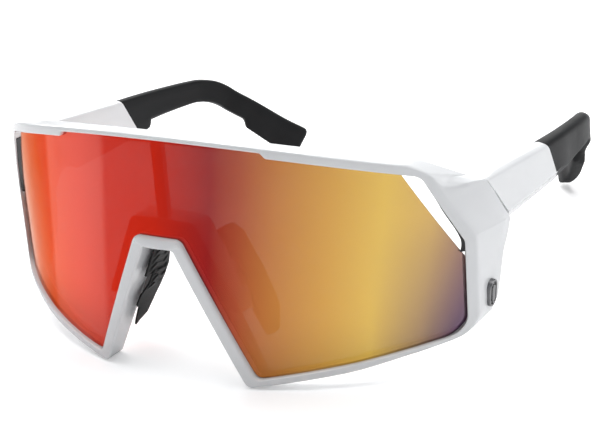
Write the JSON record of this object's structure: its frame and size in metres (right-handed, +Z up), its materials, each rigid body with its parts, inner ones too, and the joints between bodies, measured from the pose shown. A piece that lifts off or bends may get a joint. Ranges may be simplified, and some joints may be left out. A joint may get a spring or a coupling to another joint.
{
  "type": "wraparound sport sunglasses",
  "caption": "Wraparound sport sunglasses: one mirrored cylindrical shield lens in a full frame, folding temples with rubber sleeves, adjustable nose pads.",
  "frame": {"origin": "centre of the footprint, on the surface that the unfolded glasses rest on", "axes": "+Z up; -Y is the way the wearer looks, temples run back along +Y; +X is the wearer's left"},
  "size_m": [0.1382, 0.1466, 0.0616],
  "materials": {
    "frame": "glossy white injection-moulded frame plastic",
    "lens": "mirrored shield lens, red to gold multilayer coating on a tinted base",
    "latch": "black moulded latch and vent liner",
    "badge": "brushed metal plate",
    "bridge": "light grey translucent nylon",
    "pad_core": "black nylon carrier",
    "pad": "soft black grip rubber",
    "hinge": "stainless hinge metal",
    "screw": "stainless screw",
    "temple": "glossy white injection-moulded temple plastic",
    "sleeve": "matt charcoal grip rubber"
  },
  "bodies": {
    "front": {"front_frame": "frame", "shield_lens": "lens", "nose_bridge": "bridge", "lens_latch_left": "latch", "lens_latch_right": "latch", "badge_left": "badge", "badge_right": "badge", "hinge_leaf_left": "hinge", "hinge_leaf_right": "hinge", "hinge_screw_left": "screw", "hinge_screw_right": "screw"},
    "temple_left": {"temple_left": "temple", "temple_sleeve_left": "sleeve", "temple_leaf_left": "hinge"},
    "nose_pad_left": {"nose_pad_core_left": "pad_core", "nose_pad_left": "pad"},
    "temple_right": {"temple_right": "temple", "temple_sleeve_right": "sleeve", "temple_leaf_right": "hinge"},
    "nose_pad_right": {"nose_pad_core_right": "pad_core", "nose_pad_right": "pad"}
  },
  "joints": [
    {"name": "temple_left_fold", "type": "hinge", "parent": "front", "child": "temple_left", "pos_m": [0.0627, -0.02947, 0.03596], "axis": [0, 0.061, 0.9981], "range_deg": [0, 80]},
    {"name": "temple_right_fold", "type": "hinge", "parent": "front", "child": "temple_right", "pos_m": [-0.0627, -0.02947, 0.03596], "axis": [0, -0.061, -0.9981], "range_deg": [0, 90]},
    {"name": "nose_pad_left_swing", "type": "hinge", "parent": "front", "child": "nose_pad_left", "pos_m": [0.01432, -0.06268, 0.02378], "axis": [0.4305, -0.055, -0.9009], "range_deg": [-6, 6]},
    {"name": "nose_pad_right_swing", "type": "hinge", "parent": "front", "child": "nose_pad_right", "pos_m": [-0.01432, -0.06268, 0.02378], "axis": [0.4305, 0.055, 0.9009], "range_deg": [-6, 6]}
  ]
}
